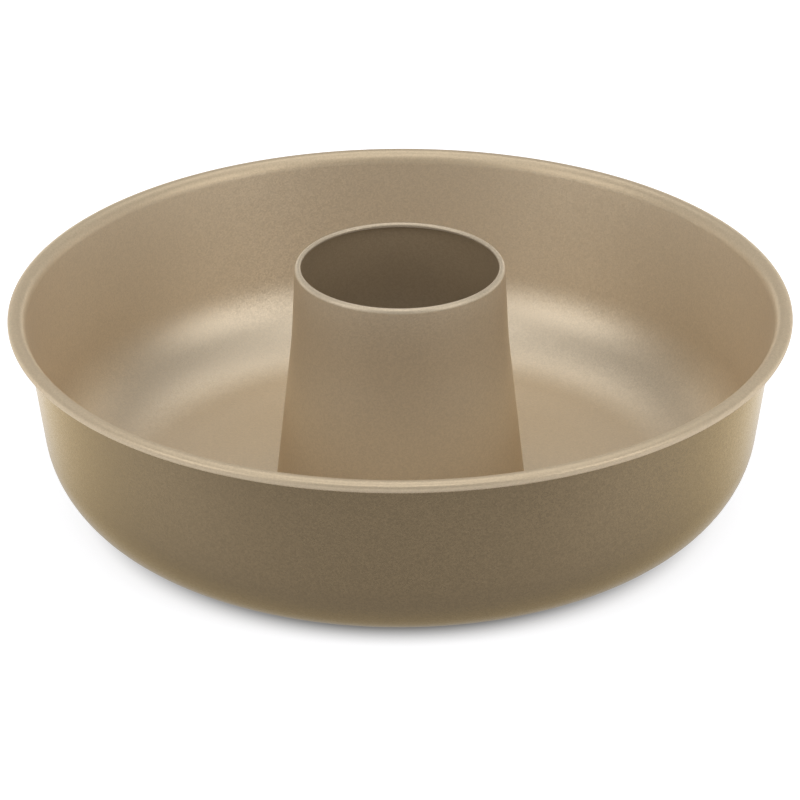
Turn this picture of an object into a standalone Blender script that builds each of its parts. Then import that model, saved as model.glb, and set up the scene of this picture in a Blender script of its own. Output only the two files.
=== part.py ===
"""Savarin mould: a drawn steel pan with a tapered centre tube clinched into its floor.

Metres, +Z up. The origin is the centre of the circle that the mould stands on.
Each piece is one strip of sheet: its middle line is drawn in the r, z plane as
straight runs, rounded corners and curls, given its thickness, and turned about Z.
"""

from math import cos, pi, radians, sin, tan

import bmesh
import bpy
from mathutils import Matrix, Vector

# Sheet and running gap
PAN_SHEET = 0.0005
TUBE_SHEET = 0.0005
SEAM_CLEARANCE = 0.0003

# Pan wall and floor
PAN_HEIGHT = 0.0667  # table to the crest of the rim
MOUTH_RADIUS = 0.120  # inside the rim
WALL_DRAFT = radians(7.7)
CORNER_RADIUS = 0.0295  # inside, between the floor and the wall

# Rolled rim, radii on its outer surface
RIM_CREST_RADIUS = 0.0037
RIM_FALL = radians(16)  # slope where the crest runs into the curl
RIM_RUN = 0.0002
RIM_CURL_RADIUS = 0.0015
RIM_CURL_TURN = radians(200)

# Centre tube
TUBE_HEIGHT = 0.0803  # table to the top of the lip
TUBE_TOP_RADIUS = 0.0338
TUBE_FOOT_RADIUS = 0.0407
NECK_LENGTH = 0.0235
NECK_TAPER = radians(2.8)
NECK_BLEND_RADIUS = 0.15  # where the neck runs into the cone
LIP_RADIUS = 0.00108
LIP_TURN = radians(230)

# Clinched seam between the tube's foot and the floor
SHOULDER_WIDTH = 0.0022  # from the cone in to the waist that fills the hole
FOLD_RADIUS = 0.0002  # inside each fold of the foot
FLANGE_REACH = 0.004  # from the waist out to the flange's raw edge
SEAM_STANDOFF = 0.0008  # table to the flange

# Shallow dish that lifts the seam off the table
SEAT_MARGIN = 0.005
DISH_WIDTH = 0.024
DISH_BLEND_RADIUS = 0.1

# Facets
SPIN_STEPS = 60
CORNER_STEPS = 9
CREST_STEPS = 7
CURL_STEPS = 7
LIP_STEPS = 9
FOLD_STEPS = 3
FOOT_STEPS = 4
BLEND_STEPS = 2
WELD_DISTANCE = 1e-6
SHARP_ANGLE = radians(40)

# Coating, linear colour
PAN_COLOUR = (0.42, 0.33, 0.23, 1.0)
TUBE_COLOUR = (0.36, 0.28, 0.20, 1.0)
COATING_METALLIC = 0.65
COATING_ROUGHNESS = 0.42


def polar(centre, radius, angle):
    """The point at an angle and a distance from a centre."""
    return centre + radius * Vector((cos(angle), sin(angle)))


def arc(centre, radius, start, turn, steps):
    """Points along an arc, both ends included; a positive turn runs anticlockwise."""
    return [polar(centre, radius, start + turn * step / steps) for step in range(steps + 1)]


def rounded_corner(before, corner, after, radius, steps):
    """Points of the arc that rounds the corner between two straight runs."""
    back = (before - corner).normalized()
    ahead = (after - corner).normalized()
    half_angle = back.angle(ahead) / 2
    start = corner + back * radius / tan(half_angle)
    centre = corner + (back + ahead).normalized() * radius / sin(half_angle)
    side = 1 if back.x * ahead.y - back.y * ahead.x < 0 else -1
    turn = side * (pi - 2 * half_angle)
    spoke = start - centre
    return [centre + Matrix.Rotation(turn * step / steps, 2) @ spoke for step in range(steps + 1)]


def offset(line, distance):
    """A line moved sideways, to its left, with mitred corners."""
    normals = []
    for start, end in zip(line, line[1:]):
        along = (end - start).normalized()
        normals.append(Vector((-along.y, along.x)))
    moved = [line[0] + normals[0] * distance]
    for point, before, after in zip(line[1:-1], normals, normals[1:]):
        moved.append(point + (before + after) * distance / (1 + before.dot(after)))
    moved.append(line[-1] + normals[-1] * distance)
    return moved


def strip(middle_line, thickness):
    """The closed section of a sheet that follows its middle line."""
    return offset(middle_line, thickness / 2) + offset(middle_line, -thickness / 2)[::-1]


def turned(name, section, material, parent):
    """A closed section spun about Z into one solid."""
    form = bmesh.new()
    corners = [form.verts.new((point.x, 0, point.y)) for point in section]
    edges = [form.edges.new(pair) for pair in zip(corners, corners[1:] + corners[:1])]
    bmesh.ops.spin(form, geom=corners + edges, cent=(0, 0, 0), axis=(0, 0, 1),
                   angle=2 * pi, steps=SPIN_STEPS)
    bmesh.ops.remove_doubles(form, verts=form.verts, dist=WELD_DISTANCE)
    bmesh.ops.recalc_face_normals(form, faces=form.faces)
    mesh = bpy.data.meshes.new(name)
    form.to_mesh(mesh)
    form.free()
    mesh.shade_smooth()
    mesh.set_sharp_from_angle(angle=SHARP_ANGLE)
    mesh.materials.append(material)
    piece = bpy.data.objects.new(name, mesh)
    bpy.context.collection.objects.link(piece)
    piece.parent = parent
    return piece


def coating(name, colour):
    """Metallic non-stick coating."""
    material = bpy.data.materials.new(name)
    material.use_nodes = True
    shader = material.node_tree.nodes["Principled BSDF"]
    shader.inputs["Base Color"].default_value = colour
    shader.inputs["Metallic"].default_value = COATING_METALLIC
    shader.inputs["Roughness"].default_value = COATING_ROUGHNESS
    return material


def seam():
    """Radii and heights that the tube's foot and the pan's floor share."""
    waist_radius = TUBE_FOOT_RADIUS - TUBE_SHEET / 2 - SHOULDER_WIDTH
    flange_height = SEAM_STANDOFF + TUBE_SHEET / 2
    floor_height = flange_height + TUBE_SHEET / 2 + SEAM_CLEARANCE + PAN_SHEET / 2
    return {
        "waist_radius": waist_radius,
        "hole_radius": waist_radius + TUBE_SHEET / 2 + SEAM_CLEARANCE,
        "flange_radius": waist_radius + FLANGE_REACH,
        "flange_height": flange_height,
        "floor_height": floor_height,
        "shoulder_height": floor_height + PAN_SHEET / 2 + SEAM_CLEARANCE + TUBE_SHEET / 2,
    }


def rim_line():
    """The rolled rim from the top of the wall, over the crest and round the curl."""
    crest_centre = Vector((MOUTH_RADIUS + RIM_CREST_RADIUS, PAN_HEIGHT - RIM_CREST_RADIUS))
    crest = arc(crest_centre, RIM_CREST_RADIUS - PAN_SHEET / 2,
                pi - WALL_DRAFT, WALL_DRAFT - RIM_FALL - pi / 2, CREST_STEPS)
    curl_start = crest[-1] + RIM_RUN * Vector((cos(RIM_FALL), -sin(RIM_FALL)))
    curl_radius = RIM_CURL_RADIUS - PAN_SHEET / 2
    curl_centre = polar(curl_start, -curl_radius, pi / 2 - RIM_FALL)
    curl = arc(curl_centre, curl_radius, pi / 2 - RIM_FALL, -RIM_CURL_TURN, CURL_STEPS)
    return crest + curl


def pan_line():
    """The pan from its centre hole out to the rim."""
    joint = seam()
    floor = PAN_SHEET / 2
    rim = rim_line()
    wall_top = rim[0]
    hole_edge = Vector((joint["hole_radius"], joint["floor_height"]))
    dish_top = Vector((joint["flange_radius"] + SEAT_MARGIN, joint["floor_height"]))
    dish_foot = Vector((dish_top.x + DISH_WIDTH, floor))
    corner = Vector((wall_top.x - (wall_top.y - floor) * tan(WALL_DRAFT), floor))
    return [
        hole_edge,
        *rounded_corner(hole_edge, dish_top, dish_foot, DISH_BLEND_RADIUS, BLEND_STEPS),
        *rounded_corner(dish_top, dish_foot, corner, DISH_BLEND_RADIUS, BLEND_STEPS),
        *rounded_corner(dish_foot, corner, wall_top, CORNER_RADIUS + PAN_SHEET / 2, CORNER_STEPS),
        *rim,
    ]


def tube_line():
    """The tube from its flange under the floor, through the hole and up to its curled lip."""
    joint = seam()
    fold = FOLD_RADIUS + TUBE_SHEET / 2
    flange_edge = Vector((joint["flange_radius"], joint["flange_height"]))
    waist_foot = Vector((joint["waist_radius"], joint["flange_height"]))
    waist_top = Vector((joint["waist_radius"], joint["shoulder_height"]))
    cone_foot = Vector((TUBE_FOOT_RADIUS - TUBE_SHEET / 2, joint["shoulder_height"]))
    lip_centre = Vector((TUBE_TOP_RADIUS - LIP_RADIUS, TUBE_HEIGHT - LIP_RADIUS))
    lip = arc(lip_centre, LIP_RADIUS - TUBE_SHEET / 2, NECK_TAPER, LIP_TURN, LIP_STEPS)
    neck_foot = lip[0] + NECK_LENGTH * Vector((sin(NECK_TAPER), -cos(NECK_TAPER)))
    return [
        flange_edge,
        *rounded_corner(flange_edge, waist_foot, waist_top, fold, FOLD_STEPS),
        *rounded_corner(waist_foot, waist_top, cone_foot, fold, FOLD_STEPS),
        *rounded_corner(waist_top, cone_foot, neck_foot, fold, FOOT_STEPS),
        *rounded_corner(cone_foot, neck_foot, lip[0], NECK_BLEND_RADIUS, BLEND_STEPS),
        *lip,
    ]


def build():
    """The two pieces, parented to one empty."""
    for leftover in list(bpy.data.objects):
        bpy.data.objects.remove(leftover, do_unlink=True)
    mould = bpy.data.objects.new("savarin_mould", None)
    bpy.context.collection.objects.link(mould)
    turned("pan_body", strip(pan_line(), PAN_SHEET), coating("pan_coating", PAN_COLOUR), mould)
    turned("centre_tube", strip(tube_line(), TUBE_SHEET), coating("tube_coating", TUBE_COLOUR), mould)


build()
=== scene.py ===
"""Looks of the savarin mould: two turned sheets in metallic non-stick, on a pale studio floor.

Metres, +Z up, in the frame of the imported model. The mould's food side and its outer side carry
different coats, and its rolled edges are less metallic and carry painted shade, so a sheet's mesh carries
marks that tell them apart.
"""

import logging
from dataclasses import dataclass, field, replace
from enum import Enum, auto
from math import ceil, cos, pi, radians, sin, tan
from typing import Any

import bpy
from mathutils import Matrix, Vector


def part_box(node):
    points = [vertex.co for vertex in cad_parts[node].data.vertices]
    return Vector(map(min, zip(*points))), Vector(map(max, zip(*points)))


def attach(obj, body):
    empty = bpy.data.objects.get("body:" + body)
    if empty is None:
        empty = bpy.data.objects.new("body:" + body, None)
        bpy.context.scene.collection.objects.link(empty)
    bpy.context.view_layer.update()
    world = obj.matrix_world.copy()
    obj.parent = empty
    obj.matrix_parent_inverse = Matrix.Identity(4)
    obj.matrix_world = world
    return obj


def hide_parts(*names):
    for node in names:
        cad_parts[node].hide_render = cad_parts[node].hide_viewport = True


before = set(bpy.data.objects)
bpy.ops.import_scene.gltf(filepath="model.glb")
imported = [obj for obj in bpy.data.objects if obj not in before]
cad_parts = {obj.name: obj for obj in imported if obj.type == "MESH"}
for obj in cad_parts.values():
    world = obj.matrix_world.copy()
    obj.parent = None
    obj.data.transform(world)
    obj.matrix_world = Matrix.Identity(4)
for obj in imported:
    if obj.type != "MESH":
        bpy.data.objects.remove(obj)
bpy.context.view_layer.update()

MM_PER_M = 1000
log = logging.getLogger("savarin_mould")

# Fineness of the turned sheets
ROUND_SEGMENTS = 384
ARC_STEP = radians(5)
LEAST_CORNER_STEPS = 2
SHARP_ANGLE = radians(40)  # an edge that bends by more than this is shaded sharp

# Marks that tell a coat where it lies on its sheet, from 0 to 1
OUTER_SIDE = "outer_side"
ROLLED_EDGE = "rolled_edge"
HALF_MARK = 0.5
ROLL_BLEND_POINTS = 3  # points of the section over which ROLLED_EDGE rises

# Sockets of a Mix node that mixes colours, by number because their names repeat
MIX_FACTOR, MIX_A, MIX_B, MIX_RESULT = 0, 6, 7, 2


def linear(hex_colour: str) -> tuple[float, float, float, float]:
    """Turns an sRGB colour to Blender's linear one.

    Args:
        hex_colour: six hex digits, such as "c8b08a".

    Returns:
        Linear red, green, blue and an alpha of 1.
    """
    channels = [int(hex_colour[place:place + 2], 16) / 255 for place in (0, 2, 4)]
    red, green, blue = [c / 12.92 if c <= 0.04045 else ((c + 0.055) / 1.055) ** 2.4 for c in channels]
    return red, green, blue, 1.0


def add_node(tree: bpy.types.NodeTree, kind: str, inputs: dict[str | int, Any] | None = None,
             **settings: Any) -> bpy.types.Node:
    """Adds one node to a tree.

    Args:
        tree: the material's, world's or geometry's tree.
        kind: the node's type, such as "ShaderNodeMath".
        inputs: socket names or numbers, each with a constant or with the output that feeds it.
        settings: the node's own properties.

    Returns:
        The new node.
    """
    node = tree.nodes.new(kind)
    for name, value in settings.items():
        setattr(node, name, value)
    for name, value in (inputs or {}).items():
        if isinstance(value, bpy.types.NodeSocket):
            tree.links.new(value, node.inputs[name])
        else:
            node.inputs[name].default_value = value
    return node


def polar(centre: Vector, radius: float, angle: float) -> Vector:
    """The point at an angle and a distance from a centre."""
    return centre + radius * Vector((cos(angle), sin(angle)))


def arc(centre: Vector, radius: float, start: float, turn: float) -> list[Vector]:
    """Points along an arc, both ends included.

    Args:
        centre: the arc's centre.
        radius: its radius.
        start: the angle of its first point.
        turn: the angle that it covers, positive when it runs anticlockwise.

    Returns:
        Points no more than ARC_STEP apart.
    """
    steps = ceil(abs(turn) / ARC_STEP)
    return [polar(centre, radius, start + turn * step / steps) for step in range(steps + 1)]


def rounded_corner(before: Vector, corner: Vector, after: Vector, radius: float) -> list[Vector]:
    """Points of the arc that rounds the corner between two straight runs.

    Args:
        before: a point on the run that comes in.
        corner: where the two runs would meet.
        after: a point on the run that goes out.
        radius: the arc's radius.

    Returns:
        The arc's points, from the first run to the second.
    """
    back = (before - corner).normalized()
    ahead = (after - corner).normalized()
    half_angle = back.angle(ahead) / 2
    start = corner + back * radius / tan(half_angle)
    centre = corner + (back + ahead).normalized() * radius / sin(half_angle)
    side = 1 if back.x * ahead.y - back.y * ahead.x < 0 else -1
    turn = side * (pi - 2 * half_angle)
    steps = max(LEAST_CORNER_STEPS, ceil(abs(turn) / ARC_STEP))
    rotations = [Matrix.Rotation(turn * step / steps, 2) for step in range(steps + 1)]
    return [centre + rotation @ (start - centre) for rotation in rotations]


def offset(line: list[Vector], distance: float) -> list[Vector]:
    """A line moved sideways, to its left, with mitred corners.

    Args:
        line: the line's points.
        distance: how far it moves.

    Returns:
        As many points, moved.
    """
    normals = []
    for start, end in zip(line, line[1:]):
        along = (end - start).normalized()
        normals.append(Vector((-along.y, along.x)))
    moved = [line[0] + normals[0] * distance]
    for point, before, after in zip(line[1:-1], normals, normals[1:]):
        moved.append(point + (before + after) * distance / (1 + before.dot(after)))
    moved.append(line[-1] + normals[-1] * distance)
    return moved


class Side(Enum):
    """Which side of a sheet, seen along its middle line, faces the food."""

    LEFT = auto()
    RIGHT = auto()


@dataclass(frozen=True)
class Sheet:
    """Steel sheet that follows a middle line in the r, z plane and ends in a rolled edge."""

    middle_line: list[Vector]
    thickness: float
    food_side: Side
    rolled_points: int  # how many points at the line's end lie on the rolled edge

    def section(self) -> tuple[list[Vector], dict[str, list[float]]]:
        """The sheet's closed section.

        Returns:
            The outline's points, and its marks by name. OUTER_SIDE is 1 on the outer side and 0 on the
            food side, and ROLLED_EDGE rises from 0 to 1 where the sheet starts to roll.
        """
        left = offset(self.middle_line, self.thickness / 2)
        right = offset(self.middle_line, -self.thickness / 2)[::-1]
        left_mark = 0.0 if self.food_side is Side.LEFT else 1.0
        flat_points = len(left) - self.rolled_points
        rolled = [min(1.0, max(0, place - flat_points) / ROLL_BLEND_POINTS) for place in range(len(left))]
        return left + right, {
            OUTER_SIDE: [left_mark] * len(left) + [1.0 - left_mark] * len(right),
            ROLLED_EDGE: rolled + rolled[::-1],
        }


@dataclass(frozen=True)
class Coats:
    """The materials of a sheet's two sides."""

    food: bpy.types.Material
    outer: bpy.types.Material


class Turning:
    """The Geometry Nodes tree that turns a sheet's closed section about Z and coats its two sides."""

    def __init__(self) -> None:
        """Builds the tree with its named inputs."""
        self.tree = bpy.data.node_groups.new("turned_sheet", "GeometryNodeTree")
        sockets = {
            "Section": "NodeSocketGeometry",
            "Rail Radius": "NodeSocketFloat",
            "Segments": "NodeSocketInt",
            "Sharp Angle": "NodeSocketFloat",
            "Food Coat": "NodeSocketMaterial",
            "Outer Coat": "NodeSocketMaterial",
        }
        self.sockets = {
            name: self.tree.interface.new_socket(name=name, in_out="INPUT", socket_type=kind).identifier
            for name, kind in sockets.items()
        }
        self.tree.interface.new_socket(name="Sheet", in_out="OUTPUT", socket_type="NodeSocketGeometry")
        self._lay_nodes()

    def _lay_nodes(self) -> None:
        """Lays and links the nodes: section, rail, sweep, shading, coats."""
        tree = self.tree
        given = add_node(tree, "NodeGroupInput").outputs
        # The rail runs through the section's outermost point, so the section shifts inward by its radius
        inward = add_node(tree, "ShaderNodeMath", {0: given["Rail Radius"], 1: -1.0}, operation="MULTIPLY")
        shift = add_node(tree, "ShaderNodeCombineXYZ", {"X": inward.outputs[0]})
        laid = add_node(tree, "GeometryNodeTransform", {
            "Geometry": given["Section"], "Translation": shift.outputs[0], "Rotation": (pi / 2, 0.0, 0.0)})
        section = add_node(tree, "GeometryNodeMeshToCurve", {"Mesh": laid.outputs[0]})
        circle = add_node(tree, "GeometryNodeCurvePrimitiveCircle", {
            "Resolution": given["Segments"], "Radius": given["Rail Radius"]})
        rail = add_node(tree, "GeometryNodeSetCurveNormal", {"Curve": circle.outputs["Curve"]}, mode="Z_UP")
        swept = add_node(tree, "GeometryNodeCurveToMesh", {
            "Curve": rail.outputs[0], "Profile Curve": section.outputs[0]})
        smooth = add_node(tree, "GeometryNodeSetShadeSmooth", {"Geometry": swept.outputs[0]}, domain="FACE")
        bend = add_node(tree, "GeometryNodeInputMeshEdgeAngle")
        sharp = add_node(tree, "FunctionNodeCompare", {
            0: bend.outputs["Unsigned Angle"], 1: given["Sharp Angle"]}, operation="GREATER_THAN")
        creased = add_node(tree, "GeometryNodeSetShadeSmooth", {
            "Geometry": smooth.outputs[0],
            "Selection": sharp.outputs[0],
            "Shade Smooth": False,
        }, domain="EDGE")
        whole = add_node(tree, "GeometryNodeRealizeInstances", {"Geometry": creased.outputs[0]})
        coated = add_node(tree, "GeometryNodeSetMaterial", {
            "Geometry": whole.outputs[0], "Material": given["Food Coat"]})
        mark = add_node(tree, "GeometryNodeInputNamedAttribute", {"Name": OUTER_SIDE}, data_type="FLOAT")
        outer = add_node(tree, "FunctionNodeCompare", {
            0: mark.outputs["Attribute"], 1: HALF_MARK}, operation="GREATER_THAN")
        done = add_node(tree, "GeometryNodeSetMaterial", {
            "Geometry": coated.outputs[0], "Selection": outer.outputs[0], "Material": given["Outer Coat"]})
        add_node(tree, "NodeGroupOutput", {0: done.outputs[0]})

    def turn(self, name: str, sheet: Sheet, coats: Coats) -> bpy.types.Object:
        """Turns one sheet into a plain mesh.

        Args:
            name: the new object's name.
            sheet: the sheet whose section is turned.
            coats: the materials of its two sides.

        Returns:
            The piece, at the origin, with no modifier left.
        """
        outline, marks = sheet.section()
        mesh = bpy.data.meshes.new(name)
        count = len(outline)
        points = [(point.x, 0.0, point.y) for point in outline]
        edges = [(place, (place + 1) % count) for place in range(count)]
        mesh.from_pydata(points, edges, [])
        for mark, values in marks.items():
            mesh.attributes.new(mark, "FLOAT", "POINT").data.foreach_set("value", values)
        piece = bpy.data.objects.new(name, mesh)
        bpy.context.scene.collection.objects.link(piece)
        modifier = piece.modifiers.new("turning", "NODES")
        modifier.node_group = self.tree
        values = {
            "Rail Radius": max(point.x for point in outline),
            "Segments": ROUND_SEGMENTS,
            "Sharp Angle": SHARP_ANGLE,
            "Food Coat": coats.food,
            "Outer Coat": coats.outer,
        }
        for socket, value in values.items():
            modifier[self.sockets[socket]] = value
        graph = bpy.context.evaluated_depsgraph_get()
        turned = bpy.data.meshes.new_from_object(
            piece.evaluated_get(graph), preserve_all_data_layers=True, depsgraph=graph)
        piece.modifiers.clear()
        piece.data = turned
        turned.name = name
        bpy.data.meshes.remove(mesh)
        return piece


@dataclass(frozen=True)
class NonStick:
    """Metallic non-stick: a lacquer full of fine flake, sprayed on steel and baked.

    The eye gets a satin metal with a broad highlight, a fine glitter where a highlight fades, and a faint
    orange peel. Each cell of a fine Voronoi is one flake with its own tone and its own tilt of the normal.
    Where the sheet is rolled, the coat is less metallic, and its colour is multiplied by a darker, warmer
    tint: painted shade that tones down the rolled rim's brightness under the lamps.
    """

    name: str
    colour: str
    roughness: float
    metallic: float
    rolled_metallic: float = 0.42
    # Painted shade on rolled edges: a darker, warmer tint that tones down their brightness under the lamps
    rolled_painted_shade: str = "efe9df"  # what the colour is multiplied with on a rolled edge
    edge_tint: str = "ffffff"  # what the metal turns to where it is seen at a slant
    lacquer: float = 0.0  # share of the surface under a clear top coat
    lacquer_ior: float = 1.4
    lacquer_roughness: float = 0.2
    flake_mm: float = 0.45  # the real flake is about 0.05 mm and would not show, so it is drawn coarser
    flake_contrast: float = 0.06
    flake_tilt: float = 0.035  # how far a flake leans at most, as a slope along each axis
    peel_mm: float = 2.2
    peel_depth_mm: float = 0.002
    peel_octaves: float = 1.0

    def material(self) -> bpy.types.Material:
        """The coat as a material.

        Returns:
            A Principled BSDF whose colour and normal come from flake and orange peel in Object coordinates.
        """
        material = bpy.data.materials.new(self.name)
        material.use_nodes = True
        tree = material.node_tree
        shader = tree.nodes["Principled BSDF"]
        place = add_node(tree, "ShaderNodeTexCoord").outputs["Object"]
        flake = add_node(tree, "ShaderNodeTexVoronoi", {"Vector": place, "Scale": MM_PER_M / self.flake_mm})
        chance = flake.outputs["Color"]
        rolled = add_node(tree, "ShaderNodeAttribute", attribute_name=ROLLED_EDGE).outputs["Fac"]
        tree.links.new(self._tone(tree, chance, rolled), shader.inputs["Base Color"])
        tree.links.new(self._relief(tree, place, chance), shader.inputs["Normal"])
        metal = add_node(tree, "ShaderNodeMapRange", {
            "Value": rolled, "To Min": self.metallic, "To Max": self.rolled_metallic})
        tree.links.new(metal.outputs[0], shader.inputs["Metallic"])
        shader.inputs["Roughness"].default_value = self.roughness
        shader.inputs["Specular Tint"].default_value = linear(self.edge_tint)
        shader.inputs["Coat Weight"].default_value = self.lacquer
        shader.inputs["Coat IOR"].default_value = self.lacquer_ior
        shader.inputs["Coat Roughness"].default_value = self.lacquer_roughness
        return material

    def _tone(self, tree: bpy.types.NodeTree, chance: bpy.types.NodeSocket,
              rolled: bpy.types.NodeSocket) -> bpy.types.NodeSocket:
        """The coat's colour, a little darker or lighter from flake to flake, and tinted on rolled edges.

        Args:
            tree: the material's tree.
            chance: a random colour per flake.
            rolled: 1 on a rolled edge and 0 elsewhere.

        Returns:
            The colour's output.
        """
        share = add_node(tree, "ShaderNodeSeparateColor", {"Color": chance})
        level = add_node(tree, "ShaderNodeMapRange", {
            "Value": share.outputs["Red"],
            "To Min": 1 - self.flake_contrast,
            "To Max": 1 + self.flake_contrast,
        })
        toned = add_node(tree, "ShaderNodeVectorMath", {
            0: linear(self.colour)[:3], "Scale": level.outputs[0]}, operation="SCALE")
        # Painted shade: on rolled edges the colour is multiplied by the darker, warmer tint
        tint = add_node(tree, "ShaderNodeMix", {
            MIX_FACTOR: rolled,
            MIX_A: linear("ffffff"),
            MIX_B: linear(self.rolled_painted_shade),
        }, data_type="RGBA")
        tinted = add_node(tree, "ShaderNodeVectorMath", {
            0: toned.outputs[0], 1: tint.outputs[MIX_RESULT]}, operation="MULTIPLY")
        return tinted.outputs[0]

    def _relief(self, tree: bpy.types.NodeTree, place: bpy.types.NodeSocket,
                chance: bpy.types.NodeSocket) -> bpy.types.NodeSocket:
        """The normal, tilted from flake to flake and waved by the orange peel.

        Args:
            tree: the material's tree.
            place: Object coordinates.
            chance: a random colour per flake.

        Returns:
            The normal's output.
        """
        mean_chance = (0.5, 0.5, 0.5)
        lean = add_node(tree, "ShaderNodeVectorMath", {0: chance, 1: mean_chance}, operation="SUBTRACT")
        tilt = add_node(tree, "ShaderNodeVectorMath", {
            0: lean.outputs[0], "Scale": 2 * self.flake_tilt}, operation="SCALE")
        surface = add_node(tree, "ShaderNodeNewGeometry").outputs["Normal"]
        leaning = add_node(tree, "ShaderNodeVectorMath", {0: surface, 1: tilt.outputs[0]}, operation="ADD")
        flat = add_node(tree, "ShaderNodeVectorMath", {0: leaning.outputs[0]}, operation="NORMALIZE")
        peel = add_node(tree, "ShaderNodeTexNoise", {
            "Vector": place, "Scale": MM_PER_M / self.peel_mm, "Detail": self.peel_octaves})
        waved = add_node(tree, "ShaderNodeBump", {
            "Height": peel.outputs["Fac"],
            "Distance": self.peel_depth_mm / MM_PER_M,
            "Normal": flat.outputs[0],
        })
        return waved.outputs["Normal"]


# The pan's food side: a pale warm metal whose highlights are broad and soft
PAN_COAT = NonStick("champagne_non_stick", colour="d5c7b1", roughness=0.42, metallic=0.65,
                    edge_tint="fff1d7")
# The tube's food side: the pan's coat made a little darker, as painted shade, with its lip left without the
# rolled edges' painted shade
TUBE_COAT = replace(PAN_COAT, name="champagne_non_stick_painted_shade", colour="c9baa3", rolled_painted_shade="ffffff")
# The pan's outer side: a dark bronze with coarser glitter under thin lacquer, golden at a slant
OUTER_COAT = NonStick("bronze_non_stick", colour="73634b", roughness=0.25, metallic=0.7,
                      edge_tint="ffe6b0", lacquer=0.3, flake_contrast=0.13)
# The tube's bore: a thin matt bronze that shows hardly any highlight; its colour, far lighter than the
# pan's outer bronze, is painted light that lifts the dim bore
BORE_COAT = NonStick("dull_bronze_painted_light", colour="ae9b7f", roughness=0.5, metallic=0.5)


@dataclass(frozen=True)
class Seam:
    """Radii and heights that the tube's foot and the pan's floor share, at the seam between them."""

    sheet: float = 0.0005  # thickness of both pieces
    clearance: float = 0.0003  # between the two, on each side of the floor
    foot_radius: float = 0.0407  # outside of the tube where it meets the floor
    shoulder_width: float = 0.0022  # from the cone in to the waist, which passes through the hole
    flange_reach: float = 0.004  # from the waist out to the flange's raw edge
    standoff: float = 0.0008  # from the table up to the flange

    @property
    def waist_radius(self) -> float:
        """Middle of the tube's sheet where it passes through the floor's hole."""
        return self.foot_radius - self.sheet / 2 - self.shoulder_width

    @property
    def hole_radius(self) -> float:
        """The hole in the pan's floor."""
        return self.waist_radius + self.sheet / 2 + self.clearance

    @property
    def flange_radius(self) -> float:
        """The raw edge of the flange under the floor."""
        return self.waist_radius + self.flange_reach

    @property
    def flange_height(self) -> float:
        """Middle of the flange's sheet."""
        return self.standoff + self.sheet / 2

    @property
    def floor_height(self) -> float:
        """Middle of the pan's floor at the hole."""
        return self.flange_height + self.sheet + self.clearance

    @property
    def shoulder_height(self) -> float:
        """Middle of the shoulder that sits on the floor."""
        return self.floor_height + self.sheet + self.clearance


@dataclass
class PanBody:
    """The drawn pan: dished floor, large corner, drafted wall and a rim rolled outward and under."""

    seam: Seam
    height: float = field(default_factory=lambda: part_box("pan_body")[1].z)
    radius: float = field(default_factory=lambda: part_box("pan_body")[1].x)
    wall_draft: float = radians(7.7)
    corner_radius: float = 0.0295  # between the floor and the wall, on the food side
    rim_blend_radius: float = 0.006
    rim_blend_turn: float = radians(27)
    rim_crest_radius: float = 0.0033
    rim_fall: float = radians(28)  # slope where the crest runs into the curl
    rim_curl_radius: float = 0.0016
    rim_curl_turn: float = radians(200)
    seat_margin: float = 0.005  # level floor beyond the flange's edge
    dish_width: float = 0.024  # from there down to the ring that the mould stands on
    dish_blend_radius: float = 0.1

    def rim(self) -> list[Vector]:
        """The rolled rim: the blend out of the wall, the crest, and the curl that ends underneath.

        Returns:
            The middle line from the top of the wall to the end of the curl.
        """
        half = self.seam.sheet / 2
        wall_side = pi - self.wall_draft
        crest_side = wall_side - self.rim_blend_turn
        curl_side = pi / 2 - self.rim_fall
        crest_reach = self.radius - self.rim_curl_radius
        crest_reach -= (self.rim_crest_radius - self.rim_curl_radius) * cos(curl_side)
        crest_centre = Vector((crest_reach, self.height - self.rim_crest_radius))
        blend_centre = polar(crest_centre, self.rim_crest_radius - self.rim_blend_radius, crest_side)
        curl_centre = polar(crest_centre, self.rim_crest_radius - self.rim_curl_radius, curl_side)
        return [
            *arc(blend_centre, self.rim_blend_radius - half, wall_side, crest_side - wall_side),
            *arc(crest_centre, self.rim_crest_radius - half, crest_side, curl_side - crest_side)[1:],
            *arc(curl_centre, self.rim_curl_radius - half, curl_side, -self.rim_curl_turn)[1:],
        ]

    def sheet(self) -> Sheet:
        """The pan's sheet.

        Returns:
            The sheet from its centre hole out to the end of the curl.
        """
        half = self.seam.sheet / 2
        rim = self.rim()
        wall_top = rim[0]
        hole_edge = Vector((self.seam.hole_radius, self.seam.floor_height))
        dish_top = Vector((self.seam.flange_radius + self.seat_margin, self.seam.floor_height))
        dish_foot = Vector((dish_top.x + self.dish_width, half))
        corner = Vector((wall_top.x - (wall_top.y - half) * tan(self.wall_draft), half))
        line = [
            hole_edge,
            *rounded_corner(hole_edge, dish_top, dish_foot, self.dish_blend_radius),
            *rounded_corner(dish_top, dish_foot, corner, self.dish_blend_radius),
            *rounded_corner(dish_foot, corner, wall_top, self.corner_radius + half),
            *rim,
        ]
        return Sheet(line, self.seam.sheet, Side.LEFT, len(rim))

    def build(self, turning: Turning, coats: Coats) -> bpy.types.Object:
        """Makes the pan and puts it in the place of its CAD node.

        Args:
            turning: the tree that turns the sheet.
            coats: the finishes of its two sides.

        Returns:
            The finished piece.
        """
        piece = turning.turn("pan_shell", self.sheet(), coats)
        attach(piece, "root")
        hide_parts("pan_body")
        return piece


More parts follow.
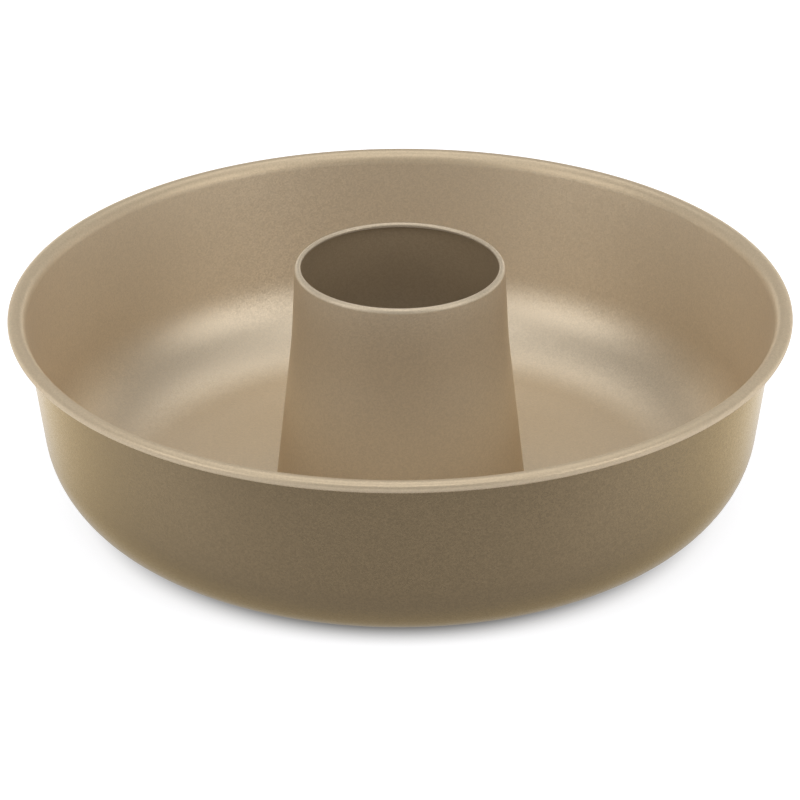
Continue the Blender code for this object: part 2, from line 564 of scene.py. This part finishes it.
@dataclass
class CentreTube:
    """The tapered tube: curled lip, straight neck, cone, and a foot folded through the floor."""

    seam: Seam
    height: float = field(default_factory=lambda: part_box("centre_tube")[1].z)
    top_radius: float = 0.0338  # outside, under the lip
    neck_length: float = 0.0235
    neck_taper: float = radians(2.8)
    neck_blend_radius: float = 0.15  # where the neck runs into the cone
    lip_shoulder_radius: float = 0.0019
    lip_shoulder_turn: float = radians(47)
    lip_radius: float = 0.0008
    lip_turn: float = radians(190)
    fold_radius: float = 0.0002  # inside each fold of the foot

    def lip(self) -> list[Vector]:
        """The lip: a soft shoulder above the neck, and the tight curl that turns down into the bore.

        Returns:
            The middle line from the top of the neck to the end of the curl.
        """
        half = self.seam.sheet / 2
        curl_side = self.neck_taper + self.lip_shoulder_turn
        step = self.lip_shoulder_radius - self.lip_radius
        shoulder_height = self.height - self.lip_radius - step * sin(curl_side)
        shoulder_centre = Vector((self.top_radius - self.lip_shoulder_radius, shoulder_height))
        curl_centre = polar(shoulder_centre, step, curl_side)
        return [
            *arc(shoulder_centre, self.lip_shoulder_radius - half, self.neck_taper, self.lip_shoulder_turn),
            *arc(curl_centre, self.lip_radius - half, curl_side, self.lip_turn)[1:],
        ]

    def sheet(self) -> Sheet:
        """The tube's sheet.

        Returns:
            The sheet from its flange under the floor up to the end of its lip.
        """
        seam = self.seam
        half = seam.sheet / 2
        fold = self.fold_radius + half
        flange_edge = Vector((seam.flange_radius, seam.flange_height))
        waist_foot = Vector((seam.waist_radius, seam.flange_height))
        waist_top = Vector((seam.waist_radius, seam.shoulder_height))
        cone_foot = Vector((seam.foot_radius - half, seam.shoulder_height))
        lip = self.lip()
        neck_foot = lip[0] + self.neck_length * Vector((sin(self.neck_taper), -cos(self.neck_taper)))
        line = [
            flange_edge,
            *rounded_corner(flange_edge, waist_foot, waist_top, fold),
            *rounded_corner(waist_foot, waist_top, cone_foot, fold),
            *rounded_corner(waist_top, cone_foot, neck_foot, fold),
            *rounded_corner(cone_foot, neck_foot, lip[0], self.neck_blend_radius),
            *lip,
        ]
        return Sheet(line, seam.sheet, Side.RIGHT, len(lip))

    def build(self, turning: Turning, coats: Coats) -> bpy.types.Object:
        """Makes the tube and puts it in the place of its CAD node.

        Args:
            turning: the tree that turns the sheet.
            coats: the finishes of its two sides.

        Returns:
            The finished piece.
        """
        piece = turning.turn("tube_shell", self.sheet(), coats)
        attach(piece, "root")
        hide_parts("centre_tube")
        return piece


@dataclass(frozen=True)
class Softbox:
    """A plain area lamp that looks at the mould, with a twin mirrored across the camera's line of sight."""

    name: str
    azimuth: float
    elevation: float
    width: float
    height: float
    brightness: float  # as the mould sees it, 1 being white
    distance: float = 1.3

    def build(self, target: Vector) -> None:
        """Makes the lamp and its twin, unseen by the camera.

        Args:
            target: the point that they face.
        """
        turns = (self.azimuth, -self.azimuth) if self.azimuth else (self.azimuth,)
        for turn in turns:
            light = bpy.data.lights.new(self.name, "AREA")
            light.shape = "RECTANGLE"
            light.size = self.width
            light.size_y = self.height
            # A lamp of pi watts per square metre looks white
            light.energy = pi * self.width * self.height * self.brightness
            lamp = bpy.data.objects.new(self.name, light)
            level = cos(self.elevation)
            back = Vector((sin(turn) * level, -cos(turn) * level, sin(self.elevation)))
            lamp.location = target + back * self.distance
            lamp.rotation_euler = back.to_track_quat("Z", "Y").to_euler()
            lamp.visible_camera = False
            bpy.context.scene.collection.objects.link(lamp)


def background_rays(tree: bpy.types.NodeTree) -> bpy.types.NodeSocket:
    """Tells rays that show the background from rays that light the mould.

    Args:
        tree: the material's tree.

    Returns:
        An output that is 1 for camera, glossy and transmission rays, and 0 for all others.
    """
    path = add_node(tree, "ShaderNodeLightPath").outputs
    seen = add_node(tree, "ShaderNodeMath", {
        0: path["Is Camera Ray"], 1: path["Is Glossy Ray"]}, operation="MAXIMUM")
    through = add_node(tree, "ShaderNodeMath", {
        0: seen.outputs[0], 1: path["Is Transmission Ray"]}, operation="MAXIMUM")
    return through.outputs[0]


def by_ray(tree: bpy.types.NodeTree, mirrored: float | bpy.types.NodeSocket,
           seen: float) -> bpy.types.NodeSocket:
    """Chooses between a value for rays that metal has mirrored and one for the camera's own rays.

    Args:
        tree: the material's tree.
        mirrored: the value for mirrored rays, or the output that gives it.
        seen: the value for camera rays.

    Returns:
        The value's output.
    """
    direct = add_node(tree, "ShaderNodeLightPath").outputs["Is Camera Ray"]
    value = add_node(tree, "ShaderNodeMapRange", {"Value": direct, "To Min": mirrored, "To Max": seen})
    return value.outputs[0]


@dataclass(frozen=True)
class Paper:
    """Matt white paper of a light table: a diffuse sheet that keeps the shadow, lit from behind.

    The emission lifts the paper to white round the mould and fades out in a ring round its foot: a painted
    contact shadow, so that the eye gets white ground with a soft contact shadow on top of the paper's own.
    Where the metal mirrors the paper, the painted shadow spreads over a wider ring and keeps a least share,
    which paints light under the mould into the metal, and the emission is weaker on the near side, which
    paints a darker reflection into the front of the outer wall.
    """

    colour: str = "babcc2"
    glow: float = 0.78
    # Painted contact shadow: the emission fades out over this ring round the mould's foot
    fade: tuple[float, float] = (0.089, 0.106)  # metres from the centre to where it starts and is full
    # In what the metal mirrors, the painted shadow is wider and keeps a least share, which is painted light
    # under the mould
    mirrored_fade: tuple[float, float] = (0.08, 0.17)
    mirrored_least: float = 0.4
    # Painted shade in reflections: the emission is weaker on the near side, which darkens the front of the
    # outer wall
    near_side: tuple[float, float] = (-0.17, -0.1)  # along Y, from the near share to the far one
    near_share: float = 0.82
    far_share: float = 1.28
    seen_share: float = 1.0

    def material(self) -> bpy.types.Material:
        """The paper as a material, clear from below so that the mould can be looked at from there.

        Returns:
            A diffuse surface with an emission that shows only where the background is seen or mirrored.
        """
        material = bpy.data.materials.new("matt_paper")
        material.use_nodes = True
        tree = material.node_tree
        tree.nodes.remove(tree.nodes["Principled BSDF"])
        matt = add_node(tree, "ShaderNodeBsdfDiffuse", {"Color": linear(self.colour)})
        level = add_node(tree, "ShaderNodeMath", {
            0: background_rays(tree), 1: self._lift(tree)}, operation="MULTIPLY")
        lift = add_node(tree, "ShaderNodeEmission", {"Strength": level.outputs[0]})
        top = add_node(tree, "ShaderNodeAddShader", {0: matt.outputs[0], 1: lift.outputs[0]})
        clear = add_node(tree, "ShaderNodeBsdfTransparent")
        below = add_node(tree, "ShaderNodeNewGeometry").outputs["Backfacing"]
        paper = add_node(tree, "ShaderNodeMixShader", {0: below, 1: top.outputs[0], 2: clear.outputs[0]})
        tree.links.new(paper.outputs[0], tree.nodes["Material Output"].inputs["Surface"])
        return material

    def _lift(self, tree: bpy.types.NodeTree) -> bpy.types.NodeSocket:
        """The strength of the light from behind at each place of the paper.

        Args:
            tree: the material's tree.

        Returns:
            The strength's output.
        """
        place = add_node(tree, "ShaderNodeTexCoord").outputs["Object"]
        reach = add_node(tree, "ShaderNodeVectorMath", {0: place}, operation="LENGTH").outputs["Value"]
        # Painted contact shadow: the emission fades out in a ring round the mould's foot
        glow_with_painted_shadow = add_node(tree, "ShaderNodeMapRange", {
            "Value": reach,
            "From Min": by_ray(tree, self.mirrored_fade[0], self.fade[0]),
            "From Max": by_ray(tree, self.mirrored_fade[1], self.fade[1]),
            "To Min": by_ray(tree, self.glow * self.mirrored_least, 0.0),
            "To Max": self.glow,
        }, interpolation_type="SMOOTHSTEP")
        # Painted shade in reflections: weaker emission towards the near side
        depth = add_node(tree, "ShaderNodeSeparateXYZ", {0: place}).outputs["Y"]
        table = add_node(tree, "ShaderNodeMapRange", {
            "Value": depth,
            "From Min": self.near_side[0],
            "From Max": self.near_side[1],
            "To Min": self.near_share,
            "To Max": self.far_share,
        }, interpolation_type="SMOOTHSTEP")
        share = by_ray(tree, table.outputs[0], self.seen_share)
        shared = add_node(tree, "ShaderNodeMath", {0: glow_with_painted_shadow.outputs[0], 1: share}, operation="MULTIPLY")
        return shared.outputs[0]


@dataclass
class Studio:
    """Pale floor, softboxes, world and the camera at the photograph's angle."""

    distance: float = 1.512
    elevation: float = radians(26.617)
    roll: float = radians(-0.2)
    target_height: float = 0.0319
    lens: float = 209.5  # millimetres, as the sensor's width
    sensor_width: float = 36.0
    lens_shift: float = -0.0005
    clip: tuple[float, float] = (0.05, 100.0)
    floor_radius: float = 12.0
    floor_sides: int = 64
    backdrop_height: float = 1.2
    paper: Paper = Paper()
    world_strength: float = 0.3
    # Name, azimuth from the camera, elevation, width, height and brightness
    softboxes: tuple[Softbox, ...] = (
        Softbox("front_side_softbox", radians(60), radians(27), 0.90, 0.63, 2.36),
        Softbox("side_strip", radians(112), radians(7), 0.50, 0.26, 1.66),
        Softbox("rear_side_softbox", radians(130), radians(22), 0.45, 0.32, 0.89),
        Softbox("rear_strip", radians(160), radians(8), 0.50, 0.26, 1.44),
        Softbox("overhead_softbox", 0, radians(90), 1.80, 1.80, 0.59),
        Softbox("high_front_softbox", 0, radians(64), 0.90, 0.40, 1.95),
        Softbox("high_rear_softbox", 0, radians(118), 0.90, 0.50, 1.22),
    )

    def camera(self) -> None:
        """Makes the camera and gives it to the scene."""
        data = bpy.data.cameras.new("camera")
        data.sensor_width = self.sensor_width
        data.lens = self.lens
        data.shift_x = self.lens_shift
        data.clip_start, data.clip_end = self.clip
        camera = bpy.data.objects.new("camera", data)
        camera.location = (0.0, -self.distance * cos(self.elevation),
                           self.target_height + self.distance * sin(self.elevation))
        tilt = Matrix.Rotation(pi / 2 - self.elevation, 3, "X")
        camera.rotation_euler = (tilt @ Matrix.Rotation(self.roll, 3, "Z")).to_euler()
        bpy.context.scene.collection.objects.link(camera)
        bpy.context.scene.camera = camera

    def floor(self) -> None:
        """Makes the floor as a large disc with the backdrop standing round its edge."""
        mesh = bpy.data.meshes.new("floor")
        sides = self.floor_sides
        turns = [2 * pi * side / sides for side in range(sides)]
        ring = [Vector((cos(turn), sin(turn), 0)) * self.floor_radius for turn in turns]
        top = [point + Vector((0, 0, self.backdrop_height)) for point in ring]
        nexts = [(side + 1) % sides for side in range(sides)]
        walls = [(side, side + sides, after + sides, after) for side, after in enumerate(nexts)]
        mesh.from_pydata(ring + top, [], [list(range(sides)), *walls])
        mesh.materials.append(self.paper.material())
        floor = bpy.data.objects.new("floor", mesh)
        bpy.context.scene.collection.objects.link(floor)

    def world(self) -> None:
        """Makes the soft light from all round."""
        world = bpy.data.worlds.new("studio")
        world.use_nodes = True
        background = world.node_tree.nodes["Background"]
        background.inputs["Color"].default_value = linear("ffffff")
        background.inputs["Strength"].default_value = self.world_strength
        bpy.context.scene.world = world

    def build(self) -> None:
        """Makes the whole studio."""
        bpy.context.scene.view_settings.view_transform = "Standard"
        self.camera()
        self.floor()
        self.world()
        target = Vector((0.0, 0.0, self.target_height))
        for softbox in self.softboxes:
            softbox.build(target)


def main() -> None:
    """Builds the mould's two pieces and the studio."""
    logging.basicConfig(level=logging.INFO, format="%(message)s")
    turning = Turning()
    seam = Seam()
    pan = PanBody(seam).build(turning, Coats(PAN_COAT.material(), OUTER_COAT.material()))
    tube = CentreTube(seam).build(turning, Coats(TUBE_COAT.material(), BORE_COAT.material()))
    for piece in (pan, tube):
        across, _, tall = (size * MM_PER_M for size in piece.dimensions)
        log.info("%s: %d faces, %.1f mm across, %.1f mm tall",
                 piece.name, len(piece.data.polygons), across, tall)
    Studio().build()
    log.info("studio: floor, backdrop, camera and softboxes")


if __name__ == "__main__":
    main()
